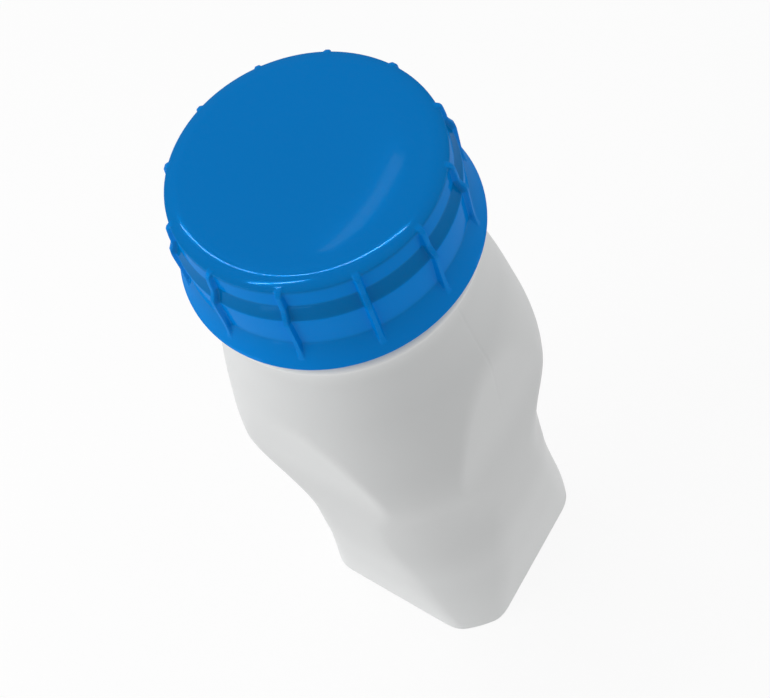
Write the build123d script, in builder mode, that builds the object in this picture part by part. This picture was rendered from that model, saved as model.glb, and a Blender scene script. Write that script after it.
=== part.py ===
from build123d import *
from math import cos, radians, sin
import os

os.makedirs("parts", exist_ok=True)

# Wide-neck collection bottle, 2 litre, in mm. Origin: middle of the foot, +Z up.
# The body is a turned vase clipped by a square block, which leaves four flat faces
# with arched tops. The screw cap presses a thin disc onto the rim of the neck.

# ---- driving dimensions -------------------------------------------------------
across_flats = 99.2       # between opposite flat faces
foot_reach = 59.2         # radius of the turned form at the foot
waist_reach = 51.0        # radius at the grip waist, just outside the flats
waist_z = 95.0            # the straight waist starts here
grip_height = 36.0        # length of the straight waist
bulge_reach = 57.2        # radius of the widest band
bulge_z = 160.0           # lower edge of the widest band
drum_height = 10.0        # height of the widest band
cap_edge_z = 265.0        # lower edge of the cap's flared skirt, cap closed
cap_radius = 47.0         # outer edge of the flared skirt
cap_height = 33.0
neck_gap = 3.6            # between the plain neck and the cap's bore, for the threads
wall = 2.0                # blown wall of the body
neck_wall = 2.4
rib_count = 12
rib_offset = -6.0         # degrees, where the first grip rib stands, cap closed

# ---- body, worked out from them -----------------------------------------------
grip_taper = 0.8                      # how much the waist opens towards its top
grip_top_reach = waist_reach + grip_taper
grip_top_z = waist_z + grip_height
swell_share = 0.28                    # how much of the bulge the body gains halfway
swell_reach = grip_top_reach + swell_share * (bulge_reach - grip_top_reach)
foot_slope = -0.10                    # outwards for each millimetre up
drum_top_z = bulge_z + drum_height
slope_drop = 42.5                     # from the skirt down to the shoulder's last bend
slope_z = cap_edge_z - slope_drop
slope_in = 8.4                        # how far the shoulder has drawn in there
slope_reach = bulge_reach - slope_in
turn_in = 2.9                         # and at the bend in its middle
ease_in = 0.9                         # and at the bend below that
shoulder_rise = slope_z - drum_top_z
bead_drop = 5.6
bead_z = cap_edge_z - bead_drop       # support bead just under the skirt
bead_set_in = 2.4                     # from the skirt's edge in to the bead's
bead_radius = cap_radius - bead_set_in
bead_half = 1.8
bead_bevel = 0.9
deck_drop = 12.0
deck_z = cap_edge_z - deck_drop       # where the shoulder meets the bead's root
bead_reach = 2.6                      # how far the bead stands out of the shoulder
deck_reach = bead_radius - bead_reach
heel_bevel = 1.6
push_up = 4.5                         # height of the hollow under the foot
foot_ring = 9.0                       # width of the ring that the bottle stands on
push_up_radius = across_flats / 2 - foot_ring
push_up_flat = 0.55 * push_up_radius

foot_end = (foot_reach, 0)
waist_end = (waist_reach, waist_z)
grip_top_end = (grip_top_reach, grip_top_z)
swell_z = (grip_top_z + bulge_z) / 2
swell_end = (swell_reach, swell_z)
bulge_end = (bulge_reach, bulge_z)
drum_top_end = (bulge_reach, drum_top_z)
shoulder_ends = [
    (bulge_reach - ease_in, drum_top_z + 0.33 * shoulder_rise),
    (bulge_reach - turn_in, drum_top_z + 0.66 * shoulder_rise),
    (slope_reach, slope_z),
]
deck_end = (deck_reach, deck_z)

# ---- cap and disc -------------------------------------------------------------
cap_top_wall = 2.2
cap_wall = 1.9
disc_thickness = 1.5
disc_gap = 0.4                        # around the disc, inside the cap
cap_top_z = cap_edge_z + cap_height
disc_z = cap_top_z - cap_top_wall - disc_thickness
rim_z = disc_z                        # the neck's rim carries the disc
crown_radius = cap_radius - 6.8       # wall of the cap's upper band
band_radius = cap_radius - 4.5        # wall of the cap's lower band
crown_depth = 7.0                     # from the top down to the sloping ledge
ledge_depth = 12.0                    # from the top down to the ledge's foot
ledge_top_z = cap_top_z - crown_depth
ledge_foot_z = cap_top_z - ledge_depth
flare_height = 7.3
flare_z = cap_edge_z + flare_height   # the skirt flares out below this
crown_ease = 5.0                      # width of the crown's sloping edge
crown_drop = 1.0                      # and how far it falls
crown_bore = crown_radius - cap_wall
band_bore = band_radius - cap_wall
neck_radius = band_bore - neck_gap
skirt_lip = 1.2                       # upright lip at the skirt's outer edge
skirt_ring = 1.6                      # width of the skirt's flat lower edge
mouth_height = 4.0
bore_mouth_z = cap_edge_z + mouth_height
ledge_wall = 0.8                      # how far the bore's step lies under the ledge
band_draft = 0.3                      # the bands lean in by this much
disc_radius = crown_bore - disc_gap

# ---- grip ribs ----------------------------------------------------------------
rib_half = 1.1
rib_lift = 1.7                        # how far a rib stands out of its band
rib_drop = 1.2                        # from the cap's top to the rib's head
rib_head = 1.4                        # height of the slope at the rib's head
rib_notch = 2.0                       # depth of the notch over the ledge
rib_root = 0.8                        # how far a rib is set into its band
rib_foot = 4.0
rib_foot_z = cap_edge_z + rib_foot
rib_head_z = cap_top_z - rib_drop


def frustum(low_radius, high_radius, base_z, top_z):
    """A plain cone with its tip cut off, standing on the level base_z."""
    with BuildPart() as hump:
        with BuildSketch(Plane.XZ):
            Polygon(
                (0, base_z),
                (low_radius, base_z),
                (high_radius, top_z),
                (0, top_z),
                align=None,
            )
        revolve(axis=Axis.Z)
    return hump.part


# ---- the outside of the body, and the hollow inside it ------------------------
with BuildPart() as outer_form:
    with BuildSketch(Plane.XZ):
        with BuildLine():
            TangentArc(foot_end, waist_end, tangent=(foot_slope, 1))
            Polyline(
                waist_end,
                grip_top_end,
                swell_end,
                bulge_end,
                drum_top_end,
                *shoulder_ends,
                deck_end,
                (neck_radius, bead_z),
                (0, bead_z),
                (0, 0),
                foot_end,
            )
        make_face()
    revolve(axis=Axis.Z)
    with BuildSketch():
        Rectangle(across_flats, across_flats)
    extrude(amount=cap_edge_z, mode=Mode.INTERSECT)
    chamfer(outer_form.edges().group_by(Axis.Z)[0], length=heel_bevel)

with BuildPart() as inner_form:
    with BuildSketch(Plane.XZ):
        with BuildLine():
            Polyline(
                (0, wall),
                (foot_reach - wall, wall),
                (waist_reach - wall, waist_z),
                (grip_top_reach - wall, grip_top_z),
                (swell_reach - wall, swell_z),
                (bulge_reach - wall, bulge_z),
                (bulge_reach - wall, drum_top_z),
                (slope_reach - wall, slope_z),
                (deck_reach - wall, deck_z - wall),
                (neck_radius - neck_wall, deck_z),
                (0, deck_z),
                (0, wall),
            )
        make_face()
    revolve(axis=Axis.Z)
    with BuildSketch():
        Rectangle(across_flats - 2 * wall, across_flats - 2 * wall)
    extrude(amount=cap_edge_z, mode=Mode.INTERSECT)
    chamfer(inner_form.edges().group_by(Axis.Z)[0], length=heel_bevel)

# The pushed-up floor keeps the wall's thickness over the hollow under the foot.
floor_hump = frustum(push_up_radius + 2 * wall, push_up_flat + wall, wall / 2, push_up + wall)
foot_hollow = frustum(push_up_radius, push_up_flat, 0, push_up)

# ---- blow-moulded bottle with its support bead and neck -----------------------
with BuildPart() as bottle_body:
    add(outer_form.part)
    with BuildSketch(Plane.XZ):
        with BuildLine():
            Polyline(
                (0, deck_z),
                (deck_reach - wall / 2, deck_z),
                (bead_radius, bead_z),
                (bead_radius - bead_bevel, bead_z + bead_half),
                (neck_radius, bead_z + bead_half),
                (neck_radius, rim_z),
                (0, rim_z),
                (0, deck_z),
            )
        make_face()
    revolve(axis=Axis.Z)
    add(inner_form.part, mode=Mode.SUBTRACT)
    with BuildSketch(Plane.XY.offset(deck_z)):
        Circle(neck_radius - neck_wall)
    extrude(amount=rim_z - deck_z, mode=Mode.SUBTRACT)
    add(floor_hump)
    add(foot_hollow, mode=Mode.SUBTRACT)
bottle_body.part.label = "bottle_body"
export_step(bottle_body.part, "parts/bottle_body.step")

# ---- screw cap: two bands, a sloping ledge, a flared skirt and the grip ribs ---
with BuildPart() as screw_cap:
    with BuildSketch(Plane.XZ):
        with BuildLine():
            Polyline(
                (0, cap_top_z),
                (crown_radius - crown_ease, cap_top_z),
                (crown_radius - crown_ease / 3, cap_top_z - crown_drop / 3),
                (crown_radius, cap_top_z - crown_drop),
                (crown_radius + band_draft, ledge_top_z),
                (band_radius - band_draft, ledge_foot_z),
                (band_radius + band_draft, flare_z),
                (cap_radius, cap_edge_z + skirt_lip),
                (cap_radius, cap_edge_z),
                (cap_radius - skirt_ring, cap_edge_z),
                (band_bore, bore_mouth_z),
                (band_bore, ledge_foot_z - ledge_wall),
                (crown_bore, ledge_top_z - ledge_wall),
                (crown_bore, cap_top_z - cap_top_wall),
                (0, cap_top_z - cap_top_wall),
                (0, cap_top_z),
            )
        make_face()
    revolve(axis=Axis.Z)
    for number in range(rib_count):
        turn = radians(rib_offset + number * 360 / rib_count)
        rib_plane = Plane(
            origin=(0, 0, 0),
            x_dir=(cos(turn), sin(turn), 0),
            z_dir=(sin(turn), -cos(turn), 0),
        )
        with BuildSketch(rib_plane):
            with BuildLine():
                Polyline(
                    (crown_radius - rib_root, ledge_top_z),
                    (crown_radius - rib_root, rib_head_z),
                    (crown_radius, rib_head_z),
                    (crown_radius + rib_lift, rib_head_z - rib_head),
                    (crown_radius + rib_lift, ledge_top_z),
                    (crown_radius + rib_lift - band_draft, ledge_top_z - rib_notch),
                    (band_radius + rib_root, ledge_foot_z - rib_notch / 2),
                    (band_radius + rib_lift, ledge_foot_z - rib_notch - rib_lift),
                    (cap_radius - skirt_ring, rib_foot_z),
                    (band_radius - rib_root, rib_foot_z),
                    (band_radius - rib_root, ledge_foot_z),
                    (crown_radius - rib_root, ledge_top_z),
                )
            make_face()
        extrude(amount=rib_half, both=True)
screw_cap.part.label = "screw_cap"
export_step(screw_cap.part, "parts/screw_cap.step")

# ---- sealing disc, pinched between the cap's top and the rim of the neck -------
with BuildPart() as sealing_disc:
    with BuildSketch(Plane.XY.offset(disc_z)):
        Circle(disc_radius)
    extrude(amount=disc_thickness)
sealing_disc.part.label = "sealing_disc"
export_step(sealing_disc.part, "parts/sealing_disc.step")
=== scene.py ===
# %% [markdown]
# A two litre wide-neck collection bottle with a blue screw cap. The CAD model gives the
# frame, so this script loads it first. Then each piece gets a finer shape of its own and a
# finish. Sizes are written in millimetres and turned into metres by one factor.

import math

import bmesh
import bpy
from mathutils import Matrix, Vector
from mathutils.geometry import interpolate_bezier


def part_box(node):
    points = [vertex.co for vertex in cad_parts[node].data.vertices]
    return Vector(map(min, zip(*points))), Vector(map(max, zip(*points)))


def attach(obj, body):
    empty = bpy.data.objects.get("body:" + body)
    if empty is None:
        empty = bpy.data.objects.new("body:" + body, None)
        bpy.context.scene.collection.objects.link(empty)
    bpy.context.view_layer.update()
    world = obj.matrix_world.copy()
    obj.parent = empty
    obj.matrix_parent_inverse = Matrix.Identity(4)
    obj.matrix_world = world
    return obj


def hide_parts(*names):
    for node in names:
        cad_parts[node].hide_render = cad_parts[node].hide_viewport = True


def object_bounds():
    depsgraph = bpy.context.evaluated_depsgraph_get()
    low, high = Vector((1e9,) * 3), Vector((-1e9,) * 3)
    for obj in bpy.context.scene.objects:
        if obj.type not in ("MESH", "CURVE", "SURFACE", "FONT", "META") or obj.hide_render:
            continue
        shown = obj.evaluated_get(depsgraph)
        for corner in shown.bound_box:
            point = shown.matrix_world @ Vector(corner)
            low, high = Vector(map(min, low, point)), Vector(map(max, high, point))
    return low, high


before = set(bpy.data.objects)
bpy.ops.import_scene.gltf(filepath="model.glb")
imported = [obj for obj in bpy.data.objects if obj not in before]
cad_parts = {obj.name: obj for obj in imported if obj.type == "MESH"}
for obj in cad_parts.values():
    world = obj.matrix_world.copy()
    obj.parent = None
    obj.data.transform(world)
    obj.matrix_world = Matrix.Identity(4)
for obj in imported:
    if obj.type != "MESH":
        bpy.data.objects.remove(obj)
cad_low, cad_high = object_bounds()
mm = 0.001
across_flats = 99.2 * mm
cap_edge = 265.0 * mm
cap_height = 33.0 * mm
neck_radius = 37.0 * mm
rim_height = cap_edge + 29.3 * mm
wall = 2.0 * mm

# %% [markdown]
# Turned shapes start as a side line: a row of points that gives the radius at each height.
# Straight steps would show as rings, so each stretch of the line is a Bezier curve with a
# chosen slope at both ends. The slope is how far the line moves outwards for each
# millimetre up, which is easy to read off a bottle with a ruler.

# %% Draw side lines


def stretch(start, start_slope, end, end_slope, count):
    """Points of one smooth stretch of a side line, as (radius, height)."""
    third = (end[1] - start[1]) / 3
    knots = (
        Vector((start[0], 0, start[1])),
        Vector((start[0] + start_slope * third, 0, start[1] + third)),
        Vector((end[0] - end_slope * third, 0, end[1] - third)),
        Vector((end[0], 0, end[1])),
    )
    return [(p.x, p.z) for p in interpolate_bezier(*knots, count)]


def join_stretches(*stretches):
    """One side line from several, without the doubled points where they meet."""
    line = list(stretches[0])
    for points in stretches[1:]:
        line += points[1:]
    return line


def corner(centre, radius, start, end, count):
    """A rounded corner of a side line; angles in degrees from straight outwards."""
    angles = [math.radians(start + (end - start) * i / count) for i in range(count + 1)]
    return [
        (centre[0] + radius * math.cos(a), centre[1] + radius * math.sin(a))
        for a in angles
    ]


def chain(bm, line):
    """Lays a side line into the mesh as vertices joined by edges."""
    verts = [bm.verts.new((r, 0, z)) for r, z in line]
    edges = [bm.edges.new(pair) for pair in zip(verts, verts[1:])]
    return verts + edges


def turn(line, steps):
    """Turns a side line all the way round the Z axis: one quarter, then three copies."""
    bm = bmesh.new()
    axis = {"cent": (0, 0, 0), "axis": (0, 0, 1)}
    bmesh.ops.spin(bm, geom=chain(bm, line), angle=math.tau / 4, steps=steps // 4, **axis)
    whole = bm.verts[:] + bm.edges[:] + bm.faces[:]
    bmesh.ops.spin(bm, geom=whole, angle=math.tau * 3 / 4, steps=3, use_duplicate=True, **axis)
    bmesh.ops.remove_doubles(bm, verts=bm.verts, dist=1e-6)
    return bm


print("a stretch of 5 points:", len(stretch((1, 0), 0, (2, 1), 0, 5)))

# %% [markdown]
# A blow-moulded bottle like this is a turned vase cut by a square block: where the vase is
# wider than the block, a flat face is left, and its edge is an arch. The vase alone could be
# cut with a boolean, but plastic has soft edges. So every vertex is moved instead. Its
# distance from the axis becomes the smaller of vase and block, and the two are blended over
# a few millimetres, which rounds each crease as a mould does.

# %% Clip the vase to four flat faces


def smooth_min(a, b, blend):
    """The smaller of two lengths, rounded where they are nearly the same."""
    near = max(blend - abs(a - b), 0) / blend
    return min(a, b) - near * near * blend / 4


def flat_reach(x, y, half):
    """How far the square block reaches from the axis in the direction of (x, y)."""
    return half * math.hypot(x, y) / max(abs(x), abs(y))


def square_off(verts, half, blend, rounded=lambda z: 0):
    """Draws vertices in to the flat faces. At each height blend(z) is how wide a crease is
    rounded, and rounded(z) is how far the heel has curved in."""
    for v in verts:
        radius = math.hypot(v.co.x, v.co.y)
        limit = flat_reach(v.co.x, v.co.y, half - rounded(v.co.z))
        share = smooth_min(radius, limit, blend(v.co.z)) / radius
        v.co.x *= share
        v.co.y *= share


print("a corner of the block lies", round(flat_reach(1, 1, 0.5), 3), "m from the axis")

# %% [markdown]
# The outside runs from the foot up through the grip waist, over the widest band and the
# shoulder, round the support bead and up the neck to its rim. The heel's curve is taken off
# the vase and off the flats alike, so it goes round the whole foot.

# The creases are a little wider near the foot than on the shoulder.

# %% Turn and clip the outside of the bottle
heel = 1.8 * mm
turns = 288
crease_width = 1.4 * mm
crease_gain = 1.8 * mm      # how much wider the creases are near the foot
crease_gain_start = 110 * mm
crease_gain_end = 60 * mm
flats_end = 252 * mm        # above this the bottle is plainly round


def heel_curve(z):
    """How far the heel has curved in at this height."""
    low = max(heel - z, 0)
    return heel - math.sqrt(heel * heel - low * low)


def crease(z):
    """How wide a crease is rounded at this height."""
    share = (crease_gain_start - z) / (crease_gain_start - crease_gain_end)
    return crease_width + crease_gain * min(max(share, 0), 1)


def to_mm(*pairs):
    """Points of a side line that are given in millimetres."""
    return [(r * mm, z * mm) for r, z in pairs]


foot, waist, grip_top, swell, drum, belly, sloping, collar = to_mm(
    (59.8, 0),
    (53.2, 68),
    (51.8, 121),
    (55.2, 152),
    (57.4, 171),
    (53.3, 200),
    (47.3, 226),
    (42.4, 247.5),
)
vase = join_stretches(
    stretch(foot, -0.12, waist, -0.04, 54),
    stretch(waist, -0.04, grip_top, 0.04, 36),
    stretch(grip_top, 0.04, swell, 0.19, 22),
    stretch(swell, 0.19, drum, 0, 16),
    stretch(drum, 0, belly, -0.19, 28),
    stretch(belly, -0.19, sloping, -0.30, 20),
    stretch(sloping, -0.30, collar, -0.20, 16),
)
vase = [(r - heel_curve(z), z) for r, z in vase]
bead_radius = 45.2 * mm
bead_height = 258.4 * mm
bead_round = 2.2 * mm
under_bead = (43.1 * mm, 255.0 * mm)
over_bead = (neck_radius + 1.6 * mm, bead_height + bead_round)
neck_foot = (neck_radius, 264.2 * mm)
rim_round = 0.9 * mm
neck_line = join_stretches(
    stretch(collar, -0.20, under_bead, 0.7, 8),
    corner((bead_radius - bead_round, bead_height), bead_round, -60, 90, 12),
    stretch(over_bead, -1.2, neck_foot, 0, 6),
    stretch(neck_foot, 0, (neck_radius, rim_height - rim_round), 0, 24),
    corner((neck_radius - rim_round, rim_height - rim_round), rim_round, 0, 90, 5),
)
outer = turn(join_stretches(vase, neck_line), turns)
square_off([v for v in outer.verts if v.co.z < flats_end], across_flats / 2, crease, heel_curve)
print("outside of the bottle:", len(outer.faces), "faces")

# %% [markdown]
# The foot is pushed up in the middle so that the bottle stands on a ring. The open edge of
# the turned wall is extruded inwards one ring at a time. Each ring keeps the direction of
# every vertex and only changes its distance from the axis, so the square outline of the
# foot turns smoothly into the round hollow, and the last ring is drawn to a point.

# %% Close the foot ring by ring


def open_edges(bm, height):
    """The open edges of a mesh that lie at one height."""
    return [
        e for e in bm.edges if e.is_boundary and all(abs(v.co.z - height) < 1e-6 for v in e.verts)
    ]


def step_rings(bm, edges, rings):
    """Extrudes a loop of edges through rings of (radius, height), then closes it."""
    for radius, height in rings:
        made = bmesh.ops.extrude_edge_only(bm, edges=edges)["geom"]
        edges = [g for g in made if isinstance(g, bmesh.types.BMEdge)]
        for v in {v for e in edges for v in e.verts}:
            share = radius / math.hypot(v.co.x, v.co.y)
            v.co = Vector((v.co.x * share, v.co.y * share, height))
    last = list({v for e in edges for v in e.verts})
    bmesh.ops.pointmerge(bm, verts=last, merge_co=(0, 0, rings[-1][1]))


push_up = to_mm(
    (43.0, 0), (41.2, 0.1), (40.2, 0.6), (38.6, 1.4), (35, 2.4), (29, 3.3), (21, 3.9), (12, 4.2), (4, 4.3)
)
step_rings(outer, open_edges(outer, 0), push_up)
print("foot closed:", len(outer.faces), "faces")

# %% [markdown]
# Two mould halves meet in a plane through the axis and leave a thin seam up the middle of
# two opposite faces, and a pinch-off line under the foot. Cutting the mesh by two planes
# close to that middle gives it edges to raise, so the seam is a real line in the surface.
# It stands out most on the shoulder and is faint on the lower body.

# %% Raise the mould seam
seam_half = 0.45 * mm
seam_height = 0.12 * mm
seam_top = 262 * mm
seam_least = 0.15           # share of the height that is left on the lower body
seam_rise_start = 170 * mm
seam_rise_end = 220 * mm
pinch_half = 6 * mm         # the middle of the foot, where it is not raised
for side in (-1, 1):
    bmesh.ops.bisect_plane(
        outer,
        geom=outer.verts[:] + outer.edges[:] + outer.faces[:],
        plane_co=(0, side * seam_half, 0),
        plane_no=(0, 1, 0),
        dist=1e-6,
    )
outer.normal_update()
seam = [v for v in outer.verts if abs(v.co.y) < seam_half / 3 and v.co.z < seam_top]
for v in seam:
    if abs(v.co.x) > pinch_half:
        risen = (v.co.z - seam_rise_start) / (seam_rise_end - seam_rise_start)
        stand = seam_least + (1 - seam_least) * min(max(risen, 0), 1)
        v.co += v.normal * seam_height * stand
print("seam vertices raised:", len(seam))

# %% [markdown]
# The bottle is hollow, and its inside shows whenever the cap is lifted. The inner line runs
# through the main points of the outer one moved in by the wall, so the wall is only roughly
# even. It needs fewer rings, because only the neck's bore is seen from near by. Bridging the
# two open rims makes one closed shell.

# %% Turn the inside and join the two walls
bore_radius = 34.6 * mm
bore_start = (bore_radius, 257 * mm)
bore_round = 0.8 * mm
bore_end = (bore_radius, rim_height - bore_round)
inner_flats_end = 246 * mm


def inward(point):
    """A point of the outer side line moved in by the wall."""
    return point[0] - wall, point[1]


inner_line = join_stretches(
    stretch((foot[0] - wall, wall), -0.10, inward(waist), -0.03, 12),
    stretch(inward(waist), 0, inward(swell), 0.3, 12),
    stretch(inward(swell), 0.1, inward(belly), -0.21, 10),
    stretch(inward(belly), -0.21, inward(collar), -0.3, 12),
    stretch(inward(collar), -0.8, bore_start, 0, 6),
    stretch(bore_start, 0, bore_end, 0, 8),
    corner((bore_radius + bore_round, rim_height - bore_round), bore_round, 180, 90, 4),
)
inner = turn(inner_line, turns)
square_off([v for v in inner.verts if v.co.z < inner_flats_end], across_flats / 2 - wall, crease)
step_rings(inner, open_edges(inner, wall), to_mm((42, 2.4), (36, 4.4), (20, 6.1), (6, 6.4)))
bottle = bmesh.new()
for part in (outer, inner):
    poured = bpy.data.meshes.new("wall")
    part.to_mesh(poured)
    part.free()
    bottle.from_mesh(poured)
    bpy.data.meshes.remove(poured)
bmesh.ops.bridge_loops(bottle, edges=open_edges(bottle, rim_height))
print("open edges left in the bottle:", sum(e.is_boundary for e in bottle.edges))

# %% [markdown]
# Every piece ends the same way. Its mesh becomes an object at the origin, its faces are
# turned outwards and shaded smooth apart from real edges, and it is told which moving body
# it rides on.

# %% Turn a finished mesh into a piece


def make_piece(name, bm, body, sharp=40):
    """Makes an object of a finished mesh and seats it on its body."""
    bmesh.ops.recalc_face_normals(bm, faces=bm.faces)
    mesh = bpy.data.meshes.new(name)
    bm.to_mesh(mesh)
    bm.free()
    for face in mesh.polygons:
        face.use_smooth = True
    mesh.set_sharp_from_angle(angle=math.radians(sharp))
    piece = bpy.data.objects.new(name, mesh)
    bpy.context.scene.collection.objects.link(piece)
    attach(piece, body)
    triangles = sum(len(face.vertices) - 2 for face in mesh.polygons)
    print(name, "rides", body, "with", triangles, "triangles")
    return piece


shell = make_piece("bottle_shell", bottle, "bottle")
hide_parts("bottle_body")

# %% [markdown]
# The cap is turned too, but twelve grip ribs break its side. It is built as one slice of
# thirty degrees with a rib in the middle. The slice is extruded through angles that lie
# close together at the rib and far apart beside it, so the detail goes where it is needed.
# Its side line runs from the middle of the top over the rounded crown, down the upper band,
# the sloping ledge and the lower band, out over the flared skirt, and back up the bore.

# %% Draw the cap's side line


def cap_line(*pairs):
    """Points of the cap, given in millimetres over the skirt's lower edge."""
    return [(r * mm, cap_edge + z * mm) for r, z in pairs]


band_top, ledge_top, ledge_foot, band_start, band_end, skirt = cap_line(
    (40.2, 31.7), (40.65, 26.1), (42.25, 21.3), (42.55, 20.6), (42.9, 9.0), (46.7, 0.9)
)
crown_start = 35.0 * mm
crown_end = 39.8 * mm
crown_fall = 0.85 * mm
crown_steps = 14
crown_corner = (crown_end - 0.05 * mm, cap_edge + 31.7 * mm)
ledge_corner = (ledge_top[0] - 0.3 * mm, ledge_top[1] - 0.1 * mm)
ledge_start = (ledge_top[0], ledge_top[1] - 0.3 * mm)
skirt_corner = (46.65 * mm, cap_edge + 0.45 * mm)
lower_bore = (40.6 * mm, cap_edge + 6 * mm)
bore_step = (40.6 * mm, cap_edge + 20 * mm)
upper_bore = (38.3 * mm, cap_edge + 25.2 * mm)


def crown_point(share):
    """A point of the crown, which falls away faster and faster towards its edge."""
    height = cap_edge + cap_height - crown_fall * share * share
    return crown_start + (crown_end - crown_start) * share, height


cap_outside = join_stretches(
    cap_line((0, 32.75), (5, 32.76), (12, 32.81), (20, 32.9), (28, 32.98)),
    [crown_point(i / crown_steps) for i in range(crown_steps + 1)],
    corner(crown_corner, 0.42 * mm, 68, 0, 5),
    stretch(band_top, -0.04, ledge_top, -0.1, 12),
    corner(ledge_corner, 0.32 * mm, 10, -20, 2),
    stretch(ledge_start, -0.30, ledge_foot, -0.42, 10),
    stretch(ledge_foot, -0.6, band_start, -0.1, 4),
    stretch(band_start, -0.03, band_end, -0.05, 20),
    stretch(band_end, -0.36, skirt, -0.58, 16),
    corner(skirt_corner, 0.35 * mm, 60, -90, 6),
)
cap_inside = join_stretches(
    cap_line((46.65, 0.1), (45.4, 0.1), (44.6, 0.5), (41.2, 4.0), (40.7, 4.8)),
    stretch(lower_bore, 0, bore_step, 0, 6),
    stretch(bore_step, 0, upper_bore, 0, 5),
    cap_line((38.3, 25.2), (38.3, 30.2), (37.7, 30.8), (20, 30.8), (0, 30.8)),
)
print("side line of the cap:", len(cap_outside) + len(cap_inside), "points")

# %% [markdown]
# A grip rib stands out of both bands and dips where it crosses the ledge. Its own side line
# gives how far out it reaches at each height. Vertices near the middle of the slice move out
# to that line, and the move fades over the rib's rounded flanks. The blue is painted darker
# with painted shade on some parts of the wall: the ledge under the upper band, the crown and
# the top, and the skirt where it leaves the lower band. So each vertex also notes how much
# painted shade it gets. Those shares are listed one by one, and the ribs stand out of the
# shade and stay light.

# %% Shape one slice with its grip rib and its painted shade
rib_line = cap_line(
    (46.0, 0), (45.2, 4.0), (44.9, 5.5), (44.7, 7), (44.5, 8.8), (44.3, 12), (44.2, 17),
    (44.1, 20.4), (43.8, 22.3), (42.5, 24.6), (42.2, 25.6), (42.0, 28), (41.6, 30.7),
    (41.2, 31.6), (40.4, 32.15), (39.3, 32.75), (0, 33),
)
rib_count = 12
rib_offset = -6.0
rib_plateau = 0.55 * mm
rib_flank = 0.7 * mm
rib_shade_loss = 0.8         # share of the painted shade that a rib loses
slice_angles = [0, 0.45, 0.75, 0.95, 1.15, 1.35, 1.55, 1.75, 2.2, 3.4, 5.5, 8.5, 11.5, 15]
outside_from = 38.9 * mm    # the outer wall starts this far from the axis
outside_margin = 0.3 * mm

# How much painted shade darkens the blue, and at which height over the skirt's lower edge in millimetres.
painted_shade_shares = [
    (0.0, 0), (0.05, 0.9), (0.15, 4), (0.35, 8.2), (0.5, 9.0), (0.3, 9.4), (0.05, 10.5),
    (0, 15), (0, 20.6), (0.8, 21.1), (0.9, 21.6), (0.85, 25.4), (0.75, 25.9), (0.05, 26.2),
    (0.1, 30.9), (0.7, 31.7), (0.6, 32.15), (0.45, 32.6), (0.4, 32.9), (0.4, 33.1),
]
painted_shade_line = [(shade_share, cap_edge + over * mm) for shade_share, over in painted_shade_shares]


def read_line(line, height):
    """The value of a line of (value, height) points at this height."""
    for (low_value, low_height), (high_value, high_height) in zip(line, line[1:]):
        if low_height <= height <= high_height:
            share = (height - low_height) / (high_height - low_height)
            return low_value + (high_value - low_value) * share
    return 0


def ease(t):
    """Runs smoothly from 0 to 1."""
    t = min(max(t, 0), 1)
    return t * t * (3 - 2 * t)


def raise_rib(verts, shade_layer):
    """Moves the vertices near the slice's middle out to the rib, and notes their painted shade."""
    for v in verts:
        v[shade_layer] = read_line(painted_shade_line, v.co.z)
        radius = math.hypot(v.co.x, v.co.y)
        away = abs(math.atan2(v.co.y, v.co.x)) * radius
        lift = read_line(rib_line, v.co.z) - radius
        if lift > 0:
            stand = 1 - ease((away - rib_plateau) / rib_flank)
            v.co.x *= 1 + stand * lift / radius
            v.co.y *= 1 + stand * lift / radius
            v[shade_layer] *= 1 - rib_shade_loss * stand


def is_outside(v):
    """True for a vertex of the cap's outer wall, between the skirt and the crown."""
    radius = math.hypot(v.co.x, v.co.y)
    outer_reach = read_line(cap_outside[::-1], v.co.z)
    return radius > outer_reach - outside_margin and radius > outside_from


def turn_by(bm, verts, degrees):
    """Turns vertices about the bottle's axis."""
    matrix = Matrix.Rotation(math.radians(degrees), 3, "Z")
    bmesh.ops.rotate(bm, verts=verts, cent=(0, 0, 0), matrix=matrix)


cap = bmesh.new()
wedge = chain(cap, join_stretches(cap_outside, cap_inside))
spread = [-a for a in reversed(slice_angles[1:])] + slice_angles
edges = [g for g in wedge if isinstance(g, bmesh.types.BMEdge)]
turn_by(cap, cap.verts, spread[0])
for a, b in zip(spread, spread[1:]):
    made = bmesh.ops.extrude_edge_only(cap, edges=edges)["geom"]
    edges = [g for g in made if isinstance(g, bmesh.types.BMEdge)]
    turn_by(cap, list({v for e in edges for v in e.verts}), b - a)
shade_layer = cap.verts.layers.float.new("painted_shade")
# The crown and the top get their painted shade here.
crown_low = cap_edge + cap_height - crown_fall - 0.1 * mm
for v in cap.verts:
    if v.co.z > crown_low:
        v[shade_layer] = read_line(painted_shade_line, v.co.z)
raise_rib([v for v in cap.verts if is_outside(v)], shade_layer)
turn_by(cap, cap.verts, rib_offset)
print("one slice:", len(cap.faces), "faces")

# %% [markdown]
# Eleven copies of the slice complete the ring. They touch along their edges, so merging the
# doubled vertices makes one closed shell, poles included.

# %% Repeat the slice round the cap
bmesh.ops.spin(
    cap,
    geom=cap.verts[:] + cap.edges[:] + cap.faces[:],
    cent=(0, 0, 0),
    axis=(0, 0, 1),
    angle=math.radians(360 - 360 / rib_count),
    steps=rib_count - 1,
    use_duplicate=True,
)
bmesh.ops.remove_doubles(cap, verts=cap.verts, dist=1e-6)
print("open edges left in the cap:", sum(e.is_boundary for e in cap.edges))
cap_piece = make_piece("cap_shell", cap, "cap", sharp=50)
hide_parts("screw_cap")

# %% [markdown]
# A coarse thread holds the cap. Each ridge is one section swept along a helix: spin turns
# it and moves it up by a fixed step at the same time. Both ridges climb eight millimetres a
# turn, as the cap does, and the cap's ridge stays below the neck's, so they never cross.
# Both ends of a ridge fade into the wall, as moulded threads do.

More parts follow.
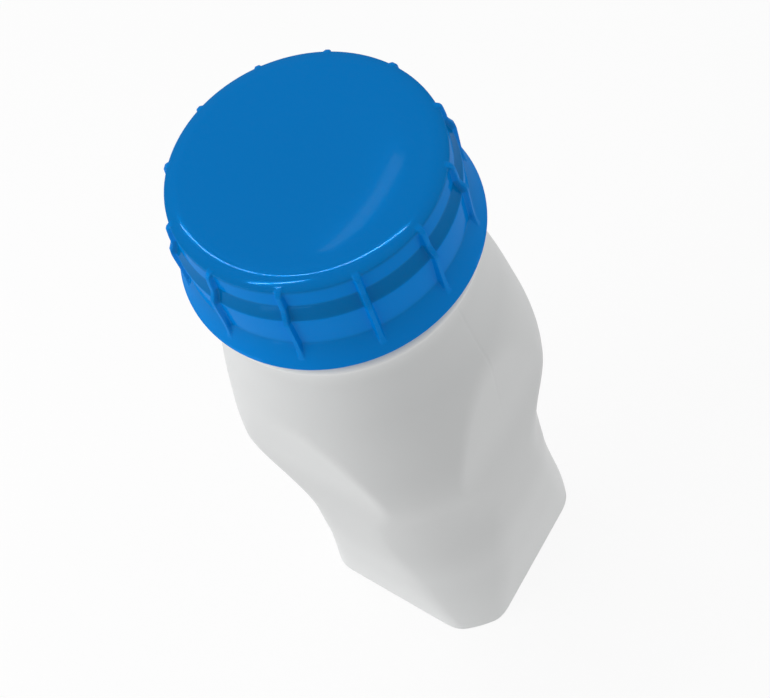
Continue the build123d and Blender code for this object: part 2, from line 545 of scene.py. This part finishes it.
# %% Sweep the two thread ridges
thread_lead = 8.0 * mm
thread_turns = 1.25
thread_steps = 120
thread_fade = 0.12          # share of a ridge over which each end fades
thread_gap = 3.2 * mm       # how far the cap's ridge runs below the neck's


def sweep_ridge(name, root, crest, start, body):
    """Sweeps one thread ridge from the wall at root to the crest, and rides it on a body."""
    bm = bmesh.new()
    lean = 0.25 * (crest - root)
    half = [(root, 1.5), (crest - lean, 1.0), (crest, 0.6)]
    section = [(r, -z) for r, z in half] + half[::-1]
    face = bm.faces.new([bm.verts.new((r, 0, start + z * mm)) for r, z in section])
    climb = thread_lead * thread_turns
    bmesh.ops.spin(
        bm,
        geom=[face, *face.edges, *face.verts],
        cent=(0, 0, 0),
        axis=(0, 0, 1),
        dvec=(0, 0, climb / thread_steps),
        angle=math.tau * thread_turns,
        steps=thread_steps,
    )
    for v in bm.verts:
        along = (v.co.z - start) / climb
        fade = ease(min(along + 0.02, 1.02 - along) / thread_fade)
        radius = math.hypot(v.co.x, v.co.y)
        share = (root + (radius - root) * fade) / radius
        v.co.x *= share
        v.co.y *= share
    return make_piece(name, bm, body, sharp=60)


cap_start = cap_edge + 6.1 * mm
sweep_ridge("neck_thread", 36.9 * mm, 39.4 * mm, cap_start + thread_gap, "bottle")
sweep_ridge("cap_thread", 40.7 * mm, 38.3 * mm, cap_start, "cap")

# %% [markdown]
# A thin foam disc lies in the cap's top and seals the rim. It is a circle given a thickness
# by extruding it, with its edges bevelled a little because cut foam is soft.

# %% Cut the sealing disc
disc_low, disc_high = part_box("sealing_disc")
disc = bmesh.new()
bmesh.ops.create_circle(
    disc,
    cap_ends=True,
    radius=disc_high.x,
    segments=160,
    matrix=Matrix.Translation((0, 0, disc_low.z)),
)
lifted = bmesh.ops.extrude_face_region(disc, geom=disc.faces[:])["geom"]
bmesh.ops.translate(
    disc,
    verts=[g for g in lifted if isinstance(g, bmesh.types.BMVert)],
    vec=(0, 0, disc_high.z - disc_low.z),
)
bmesh.ops.bevel(
    disc,
    geom=[e for e in disc.edges if len(e.link_faces) == 2 and e.calc_face_angle() > 1],
    offset=0.25 * mm,
    segments=3,
    profile=0.5,
    affect="EDGES",
    material=-1,
)
liner = make_piece("sealing_liner", disc, "seal")
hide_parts("sealing_disc")

# %% [markdown]
# Moulded plastic is never quite even. A very fine grain from the mould breaks up its gloss,
# and slow waves in the wall bend reflections a little. Every finish shares this effect, so
# it is one node group that gives a roughness and a normal, with its own values in each
# material.

# %% Make the moulded surface group
group = bpy.data.node_groups.new("moulded_surface", "ShaderNodeTree")
for socket, kind, start in (
    ("Roughness", "NodeSocketFloat", 0.3),
    ("Roughness Spread", "NodeSocketFloat", 0.05),
    ("Grain Scale", "NodeSocketFloat", 1500.0),
    ("Grain Depth", "NodeSocketFloat", 0.05),
    ("Wave Scale", "NodeSocketFloat", 30.0),
    ("Wave Depth", "NodeSocketFloat", 0.1),
):
    made = group.interface.new_socket(socket, in_out="INPUT", socket_type=kind)
    made.default_value = start
group.interface.new_socket("Roughness", in_out="OUTPUT", socket_type="NodeSocketFloat")
group.interface.new_socket("Normal", in_out="OUTPUT", socket_type="NodeSocketVector")
nodes, links = group.nodes, group.links
values = nodes.new("NodeGroupInput")
result = nodes.new("NodeGroupOutput")
place = nodes.new("ShaderNodeTexCoord")


def noise(scale_socket, detail):
    """A noise over the piece's own coordinates."""
    node = nodes.new("ShaderNodeTexNoise")
    node.inputs["Detail"].default_value = detail
    links.new(place.outputs["Object"], node.inputs["Vector"])
    links.new(values.outputs[scale_socket], node.inputs["Scale"])
    return node


grain = noise("Grain Scale", 2)
waves = noise("Wave Scale", 1)
spread_range = nodes.new("ShaderNodeMath")
spread_range.operation = "MULTIPLY_ADD"
centred = nodes.new("ShaderNodeMath")
centred.operation = "SUBTRACT"
centred.inputs[1].default_value = 0.5
links.new(waves.outputs["Fac"], centred.inputs[0])
links.new(centred.outputs[0], spread_range.inputs[0])
links.new(values.outputs["Roughness Spread"], spread_range.inputs[1])
links.new(values.outputs["Roughness"], spread_range.inputs[2])
links.new(spread_range.outputs[0], result.inputs["Roughness"])
wave_bump = nodes.new("ShaderNodeBump")
wave_bump.inputs["Distance"].default_value = 0.001
links.new(waves.outputs["Fac"], wave_bump.inputs["Height"])
links.new(values.outputs["Wave Depth"], wave_bump.inputs["Strength"])
grain_bump = nodes.new("ShaderNodeBump")
grain_bump.inputs["Distance"].default_value = 0.0001
links.new(grain.outputs["Fac"], grain_bump.inputs["Height"])
links.new(values.outputs["Grain Depth"], grain_bump.inputs["Strength"])
links.new(wave_bump.outputs["Normal"], grain_bump.inputs["Normal"])
links.new(grain_bump.outputs["Normal"], result.inputs["Normal"])
print("moulded surface group:", len(nodes), "nodes")

# %% [markdown]
# Every finish starts from the same plastic, with its own colour, gloss and share of the
# moulded surface.

# %% Make a plastic


def plastic(name, colour, roughness, specular, **surface):
    """A moulded plastic with the shared surface effect; returns it with its shader."""
    material = bpy.data.materials.new(name)
    material.use_nodes = True
    tree = material.node_tree
    shader = tree.nodes["Principled BSDF"]
    shader.inputs["Base Color"].default_value = (*colour, 1)
    shader.inputs["Specular IOR Level"].default_value = specular
    effect = tree.nodes.new("ShaderNodeGroup")
    effect.node_tree = group
    effect.inputs["Roughness"].default_value = roughness
    for key, value in surface.items():
        effect.inputs[key.replace("_", " ")].default_value = value
    tree.links.new(effect.outputs["Roughness"], shader.inputs["Roughness"])
    tree.links.new(effect.outputs["Normal"], shader.inputs["Normal"])
    return material, shader


surface_values = [s.name for s in group.interface.items_tree if s.in_out == "INPUT"]
print("a plastic can set:", surface_values)

# %% [markdown]
# The bottle is natural white polyethylene, waxy and a little glossy. Its base colour holds
# painted light and shade that change slowly from the foot to the neck. The tones are listed
# one by one: painted light makes it lightest at the foot and the bead, and painted shade
# darkest between the waist and the widest band.

# %% Mix the white of the bottle and its painted light and shade
bottle_plastic, bottle_shader = plastic(
    "white_polyethylene", (0.73, 0.742, 0.742), 0.42, 0.35, Wave_Depth=0.25, Grain_Depth=0.1
)
warmth = 0.985              # red against green and blue
# Tones of painted light at the foot and the bead and painted shade between the waist and the band
painted_light_tones = {0: 0.80, 60: 0.735, 105: 0.68, 150: 0.665, 185: 0.725, 244: 0.765, 256: 0.87}
tree = bottle_plastic.node_tree
position = tree.nodes.new("ShaderNodeTexCoord")
axes = tree.nodes.new("ShaderNodeSeparateXYZ")
height_share = tree.nodes.new("ShaderNodeMath")
height_share.operation = "DIVIDE"
height_share.inputs[1].default_value = cad_high.z
# A ramp that paints this light and shade into the base colour by height
painted_light_ramp = tree.nodes.new("ShaderNodeValToRGB")
painted_light_ramp.color_ramp.interpolation = "EASE"
stops = painted_light_ramp.color_ramp.elements
for index, (z, tone) in enumerate(painted_light_tones.items()):
    share = z * mm / cad_high.z
    stop = stops[index] if index < 2 else stops.new(share)
    stop.position = share
    stop.color = (tone * warmth, tone, tone, 1)
tree.links.new(position.outputs["Object"], axes.inputs["Vector"])
tree.links.new(axes.outputs["Z"], height_share.inputs[0])
tree.links.new(height_share.outputs[0], painted_light_ramp.inputs["Fac"])
tree.links.new(painted_light_ramp.outputs["Color"], bottle_shader.inputs["Base Color"])
print("tones of the white:", len(stops))

# %% [markdown]
# The cap is a glossy blue polypropylene. A little metal and a thin hard coat give it clear
# highlights without paling the blue at grazing angles, as a plain gloss would. Its base
# colour runs to a darker blue, as painted shade, where the vertices say so.

# %% Mix the blue of the cap
cap_plastic, cap_shader = plastic(
    "blue_polypropylene", (0.0, 0.246, 0.76), 0.1, 0.0, Wave_Scale=45.0, Wave_Depth=0.05
)
cap_shader.inputs["Metallic"].default_value = 0.08
cap_shader.inputs["Coat Weight"].default_value = 0.035
cap_shader.inputs["Coat IOR"].default_value = 2.0
cap_shader.inputs["Coat Roughness"].default_value = 0.04
tree = cap_plastic.node_tree
# The vertices' share mixes in a darker blue as painted shade.
painted_shade_note = tree.nodes.new("ShaderNodeAttribute")
painted_shade_note.attribute_name = "painted_shade"
painted_shade_mix = tree.nodes.new("ShaderNodeMix")
painted_shade_mix.data_type = "RGBA"
painted_shade_mix.inputs["A"].default_value = cap_shader.inputs["Base Color"].default_value
painted_shade_mix.inputs["B"].default_value = (0.0, 0.163, 0.455, 1)
tree.links.new(painted_shade_note.outputs["Fac"], painted_shade_mix.inputs["Factor"])
tree.links.new(painted_shade_mix.outputs["Result"], cap_shader.inputs["Base Color"])
print("the cap's coat roughness:", round(cap_shader.inputs["Coat Roughness"].default_value, 2))

# %% [markdown]
# The liner is a matt foam. With it, every piece has its finish.

# %% Mix the foam and paint the pieces
foam, _ = plastic("liner_foam", (0.80, 0.80, 0.78), 0.8, 0.2, Grain_Scale=900.0, Grain_Depth=0.5)
finishes = {
    "bottle_shell": bottle_plastic,
    "neck_thread": bottle_plastic,
    "cap_shell": cap_plastic,
    "cap_thread": cap_plastic,
    "sealing_liner": foam,
}
for name, finish in finishes.items():
    bpy.data.objects[name].data.materials.append(finish)
print("finishes:", sorted({m.name for m in finishes.values()}))

# %% [markdown]
# The picture is taken from above and to one side, close enough that the cap looms over the
# body. The camera is placed by its position, the point on the axis that it looks at, and a
# roll that tips the bottle over in the frame.

# %% Place the camera
camera = bpy.data.objects.new("camera", bpy.data.cameras.new("camera"))
bpy.context.scene.collection.objects.link(camera)
bpy.context.scene.camera = camera
camera.data.sensor_width = 36
camera.data.lens = 51.43
camera.location = Vector((153.41, -119.43, 532.79)) * mm
aim = Vector((0.88, 1.11, 184.2)) * mm
roll = Matrix.Rotation(math.radians(-22.39), 4, "Z")
turned = (aim - camera.location).to_track_quat("-Z", "Y").to_matrix().to_4x4() @ roll
camera.matrix_world = Matrix.Translation(camera.location) @ turned
bpy.context.view_layer.update()
right = turned.col[0].to_3d()
up = turned.col[1].to_3d()
back = turned.col[2].to_3d()
print("camera looks down", round(math.degrees(math.asin(back.z)), 1), "degrees")

# %% [markdown]
# A large soft lamp to the camera's left lights the bottle's left faces. A weaker one from
# the right keeps its shaded corner open. A small low one, partly below the floor, lifts the
# foot a little. Three narrow strips hang over the bottle, and the cap mirrors them: a long
# line and a short one on its crown, and a faint one on its top. The plain world gives the
# rest of the light.

# %% Set the studio light
ceiling = 1.1               # height of the strips over the cap, in metres


def hang_lamp(name, place, rotation, width, height, power):
    """A rectangular area lamp at a place in metres, turned by a quaternion."""
    lamp = bpy.data.objects.new(name, bpy.data.lights.new(name, "AREA"))
    bpy.context.scene.collection.objects.link(lamp)
    lamp.data.shape = "RECTANGLE"
    lamp.data.size = width
    lamp.data.size_y = height
    lamp.data.energy = power
    lamp.location = place
    lamp.rotation_mode = "QUATERNION"
    lamp.rotation_quaternion = rotation


def softbox(name, direction, distance, size, power):
    """A square lamp that faces the middle of the bottle."""
    middle = Vector((0, 0, cad_high.z / 2))
    facing = (-direction).to_track_quat("-Z", "Y")
    hang_lamp(name, middle + direction.normalized() * distance, facing, size, size, power)


def ceiling_strip(name, start, end, width, power):
    """A level tube lamp over the bottle, from one point of the ceiling to another."""
    run = Vector(end) - Vector(start)
    place = (Vector(start) + Vector(end)) / 2
    facing = Matrix.Rotation(math.atan2(run.y, run.x), 3, "Z").to_quaternion()
    hang_lamp(name, (*place, cad_high.z + ceiling), facing, run.length, width, power)


softbox("left_softbox", -right * 1.0 - up * 0.25 + back * 0.35, 0.9, 0.7, 2.65)
softbox("right_softbox", right * 1.0 + up * 0.45 + back * 0.3, 1.0, 0.4, 0.95)
softbox("low_fill", Vector((0.1, -0.9, -0.42)), 0.5, 0.3, 0.3)
ceiling_strip("long_strip", (-1.08, 0.11), (-0.08, 0.41), 0.026, 3.1)
ceiling_strip("short_strip", (-0.49, -0.22), (-0.31, 0.04), 0.03, 1.1)
ceiling_strip("faint_strip", (-0.60, 0.44), (-0.60, 0.63), 0.025, 0.045)
print("lamps:", len(bpy.data.lights))

# %% [markdown]
# The world is white to the camera, to reflections and through clear plastic, and only a
# plain grey to the light that falls on the bottle. The kinds of ray are told apart by the
# light path, here and again for the floor.

# %% Fill the world
world_grey = 0.42
world = bpy.data.worlds.new("studio")
bpy.context.scene.world = world
world.use_nodes = True


def seen_share(tree):
    """A socket that is 1 for camera, glossy and transmission rays, and 0 for all others."""
    path = tree.nodes.new("ShaderNodeLightPath")
    share = path.outputs["Is Camera Ray"]
    for kind in ("Is Glossy Ray", "Is Transmission Ray"):
        either = tree.nodes.new("ShaderNodeMath")
        either.operation = "MAXIMUM"
        tree.links.new(share, either.inputs[0])
        tree.links.new(path.outputs[kind], either.inputs[1])
        share = either.outputs[0]
    return share


def seen_range(tree, unseen, seen):
    """A map from the seen share to a value for rays that do not see and one for those that do."""
    value = tree.nodes.new("ShaderNodeMapRange")
    value.inputs["To Min"].default_value = unseen
    value.inputs["To Max"].default_value = seen
    tree.links.new(seen_share(tree), value.inputs["Value"])
    return value.outputs["Result"]


backdrop = world.node_tree.nodes["Background"]
backdrop.inputs["Color"].default_value = (1, 1, 1, 1)
strength = seen_range(world.node_tree, world_grey, 1.0)
world.node_tree.links.new(strength, backdrop.inputs["Strength"])
print("world nodes:", len(world.node_tree.nodes))

# %% [markdown]
# The floor mixes two surfaces: a plain pale one, which takes the bottle's shadow, and a pure
# white one. Only the rays that see the floor get the white, so the white one lights nothing
# by itself. The pale one glows a little.

# %% Lay the floor
floor_half = 6              # metres
floor_white = 0.85          # share of pure white
floor_mesh = bpy.data.meshes.new("floor")
flat = bmesh.new()
bmesh.ops.create_grid(flat, x_segments=1, y_segments=1, size=floor_half)
flat.to_mesh(floor_mesh)
flat.free()
floor = bpy.data.objects.new("floor", floor_mesh)
bpy.context.scene.collection.objects.link(floor)
floor_paint = bpy.data.materials.new("floor_paint")
floor_paint.use_nodes = True
paint = floor_paint.node_tree
matt = paint.nodes["Principled BSDF"]
matt.inputs["Base Color"].default_value = (0.9, 0.9, 0.9, 1)
matt.inputs["Roughness"].default_value = 1.0
matt.inputs["Specular IOR Level"].default_value = 0.0
matt.inputs["Emission Color"].default_value = (1, 1, 1, 1)
matt.inputs["Emission Strength"].default_value = 0.18
bright = paint.nodes.new("ShaderNodeEmission")
surfaces = paint.nodes.new("ShaderNodeMixShader")
paint.links.new(seen_range(paint, 0.0, floor_white), surfaces.inputs["Fac"])
paint.links.new(matt.outputs["BSDF"], surfaces.inputs[1])
paint.links.new(bright.outputs["Emission"], surfaces.inputs[2])
paint.links.new(surfaces.outputs["Shader"], paint.nodes["Material Output"].inputs["Surface"])
floor_mesh.materials.append(floor_paint)
bpy.context.scene.view_settings.view_transform = "Standard"
print("floor and world are set")
